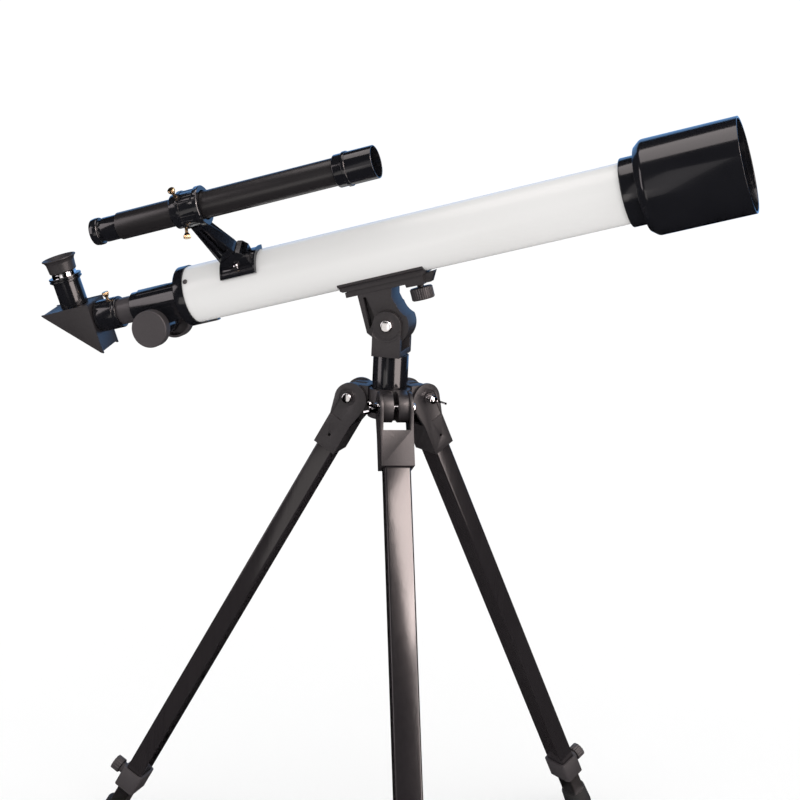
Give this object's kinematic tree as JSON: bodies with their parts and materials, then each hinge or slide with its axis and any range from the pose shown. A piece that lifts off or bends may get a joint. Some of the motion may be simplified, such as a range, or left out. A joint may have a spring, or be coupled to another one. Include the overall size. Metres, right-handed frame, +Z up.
{
  "type": "refractor telescope on tripod",
  "caption": "Small refractor telescope with dew shield, finder, rack focuser, diagonal and eyepiece, on a fork head and folding three-legged stand.",
  "frame": {"origin": "middle of the whole object's footprint box, at floor level under the feet", "axes": "+Z up along the column, +X the way the tube points seen from above, at rest raised above +X"},
  "size_m": [0.6816, 0.5422, 0.791],
  "materials": {
    "black_gloss": "glossy black",
    "black_satin": "satin black",
    "black_plastic": "matt black",
    "white_paint": "gloss white",
    "steel": "bright plated",
    "aluminium": "drawn",
    "brass": "polished",
    "glass": "coated",
    "mirror": "silvered",
    "rubber": "matt"
  },
  "bodies": {
    "stand": {"hub": "black_satin", "column": "black_satin", "hinge_bolts": "steel"},
    "fork_head": {"fork": "black_satin", "altitude_bolt": "steel"},
    "altitude_nut": {"altitude_wing_nut": "steel"},
    "telescope": {"altitude_arm": "black_satin", "saddle_block": "black_satin", "tube_shoe": "black_satin", "main_tube": "white_paint", "focuser_housing": "black_gloss", "ring_screws": "black_satin", "lens_cell": "black_gloss", "objective": "glass", "lens_retainer": "black_plastic", "dew_shield": "black_gloss", "finder_bracket": "black_gloss", "finder_base_screws": "steel", "finder_tube": "black_satin", "finder_cell": "black_gloss", "finder_objective": "glass"},
    "saddle_thumbscrew": {"saddle_knob": "black_satin"},
    "finder_eye": {"finder_eyepiece": "black_plastic", "finder_eye_lens": "glass"},
    "draw": {"draw_tube": "black_satin", "draw_collar": "black_gloss"},
    "collar_thumbscrew": {"collar_screw": "brass"},
    "focus": {"pinion_shaft": "steel", "focus_knob_near": "black_plastic", "focus_knob_far": "black_plastic"},
    "diagonal": {"diagonal_housing": "black_plastic", "diagonal_mirror": "mirror", "eyepiece_holder": "black_gloss"},
    "eyepiece": {"eyepiece_barrel": "steel", "eyepiece_body": "black_plastic", "eyepiece_lens": "glass"},
    "finder_thumbscrew_1": {"finder_screw_1": "brass"},
    "finder_thumbscrew_2": {"finder_screw_2": "brass"},
    "finder_thumbscrew_3": {"finder_screw_3": "brass"},
    "leg_1": {"leg_bracket_1": "black_satin", "leg_upper_1": "black_satin", "leg_clamp_1": "black_plastic"},
    "leg_lower_1": {"leg_lower_1": "aluminium", "leg_foot_1": "rubber"},
    "leg_lock_1": {"leg_lock_screw_1": "black_plastic"},
    "hinge_nut_1": {"leg_wing_nut_1": "steel"},
    "leg_2": {"leg_bracket_2": "black_satin", "leg_upper_2": "black_satin", "leg_clamp_2": "black_plastic"},
    "leg_lower_2": {"leg_lower_2": "aluminium", "leg_foot_2": "rubber"},
    "leg_lock_2": {"leg_lock_screw_2": "black_plastic"},
    "hinge_nut_2": {"leg_wing_nut_2": "steel"},
    "leg_3": {"leg_bracket_3": "black_satin", "leg_upper_3": "black_satin", "leg_clamp_3": "black_plastic"},
    "leg_lower_3": {"leg_lower_3": "aluminium", "leg_foot_3": "rubber"},
    "leg_lock_3": {"leg_lock_screw_3": "black_plastic"},
    "hinge_nut_3": {"leg_wing_nut_3": "steel"}
  },
  "joints": [
    {"name": "pan_turn", "type": "hinge", "parent": "stand", "child": "fork_head", "pos_m": [0.01488, 0.01299, 0.5817], "axis": [0, 0, 1], "continuous": true},
    {"name": "altitude_tilt", "type": "hinge", "parent": "fork_head", "child": "telescope", "pos_m": [0.01488, 0.01299, 0.5817], "axis": [0, -1, 0], "range_deg": [-35, 45]},
    {"name": "altitude_nut_turn", "type": "hinge", "parent": "fork_head", "child": "altitude_nut", "pos_m": [0.01488, 0.03899, 0.5817], "axis": [0, 1, 0], "range_deg": [-360, 360]},
    {"name": "saddle_knob_turn", "type": "hinge", "parent": "telescope", "child": "saddle_thumbscrew", "pos_m": [0.04239, 0.01299, 0.6122], "axis": [-0.2957, 0, 0.9553], "range_deg": [-360, 360]},
    {"name": "finder_focus_slide", "type": "slide", "parent": "telescope", "child": "finder_eye", "axis": [-0.9553, 0, -0.2957], "range_m": [0, 0.008]},
    {"name": "draw_slide", "type": "slide", "parent": "telescope", "child": "draw", "axis": [-0.9553, 0, -0.2957], "range_m": [-0.01, 0.06]},
    {"name": "focus_turn", "type": "hinge", "parent": "telescope", "child": "focus", "pos_m": [-0.21684, 0.01299, 0.55922], "axis": [0, 1, 0], "range_deg": [-540, 100]},
    {"name": "collar_screw_turn", "type": "hinge", "parent": "draw", "child": "collar_thumbscrew", "pos_m": [-0.2761, 0.00883, 0.58329], "axis": [-0.2892, -0.2079, 0.9344], "range_deg": [-360, 360]},
    {"name": "diagonal_turn", "type": "hinge", "parent": "draw", "child": "diagonal", "pos_m": [-0.27271, 0.01299, 0.56386], "axis": [0.9553, 0, 0.2957], "continuous": true},
    {"name": "eyepiece_slide", "type": "slide", "parent": "diagonal", "child": "eyepiece", "axis": [-0.2928, -0.1392, 0.946], "range_m": [0, 0.026]},
    {"name": "finder_screw_turn_1", "type": "hinge", "parent": "telescope", "child": "finder_thumbscrew_1", "pos_m": [-0.17826, -0.05411, 0.69332], "axis": [-0.2265, -0.6428, 0.7318], "range_deg": [-360, 360]},
    {"name": "finder_screw_turn_2", "type": "hinge", "parent": "telescope", "child": "finder_thumbscrew_2", "pos_m": [-0.16817, -0.04809, 0.66073], "axis": [0.2779, -0.342, -0.8977], "range_deg": [-360, 360]},
    {"name": "finder_screw_turn_3", "type": "hinge", "parent": "telescope", "child": "finder_thumbscrew_3", "pos_m": [-0.17476, -0.02156, 0.682], "axis": [-0.0513, 0.9848, 0.1659], "range_deg": [-360, 360]},
    {"name": "leg_spread_1", "type": "hinge", "parent": "stand", "child": "leg_1", "pos_m": [0.03031, -0.02009, 0.5082], "axis": [-0.9063, -0.4226, 0], "range_deg": [-24, 0]},
    {"name": "leg_extend_1", "type": "slide", "parent": "leg_1", "child": "leg_lower_1", "axis": [0.2004, -0.4297, -0.8805], "range_m": [0, 0.35]},
    {"name": "leg_lock_turn_1", "type": "hinge", "parent": "leg_1", "child": "leg_lock_1", "pos_m": [0.13514, -0.2449, 0.07389], "axis": [0.3721, -0.798, 0.4741], "range_deg": [-360, 360]},
    {"name": "hinge_nut_turn_1", "type": "hinge", "parent": "stand", "child": "hinge_nut_1", "pos_m": [0.01218, -0.02854, 0.5082], "axis": [-0.9063, -0.4226, 0], "range_deg": [-360, 360]},
    {"name": "leg_spread_2", "type": "hinge", "parent": "stand", "child": "leg_2", "pos_m": [0.03582, 0.04289, 0.5082], "axis": [0.8192, -0.5736, 0], "range_deg": [-24, 0]},
    {"name": "leg_extend_2", "type": "slide", "parent": "leg_2", "child": "leg_lower_2", "axis": [0.2719, 0.3884, -0.8805], "range_m": [0, 0.35]},
    {"name": "leg_lock_turn_2", "type": "hinge", "parent": "leg_2", "child": "leg_lock_2", "pos_m": [0.17809, 0.24608, 0.07389], "axis": [0.505, 0.7212, 0.4741], "range_deg": [-360, 360]},
    {"name": "hinge_nut_turn_2", "type": "hinge", "parent": "stand", "child": "hinge_nut_2", "pos_m": [0.0522, 0.03142, 0.5082], "axis": [0.8192, -0.5736, 0], "range_deg": [-360, 360]},
    {"name": "leg_spread_3", "type": "hinge", "parent": "stand", "child": "leg_3", "pos_m": [-0.02148, 0.01617, 0.5082], "axis": [0.0872, 0.9962, 0], "range_deg": [-24, 0]},
    {"name": "leg_extend_3", "type": "slide", "parent": "leg_3", "child": "leg_lower_3", "axis": [-0.4723, 0.0413, -0.8805], "range_m": [0, 0.35]},
    {"name": "leg_lock_turn_3", "type": "hinge", "parent": "leg_3", "child": "leg_lock_3", "pos_m": [-0.26859, 0.03779, 0.07389], "axis": [-0.8771, 0.0767, 0.4741], "range_deg": [-360, 360]},
    {"name": "hinge_nut_turn_3", "type": "hinge", "parent": "stand", "child": "hinge_nut_3", "pos_m": [-0.01974, 0.0361, 0.5082], "axis": [0.0872, 0.9962, 0], "range_deg": [-360, 360]}
  ],
  "couplings": [
    {"joint": "focus_turn", "follows": "draw_slide", "rad_per_m": -153.85}
  ]
}
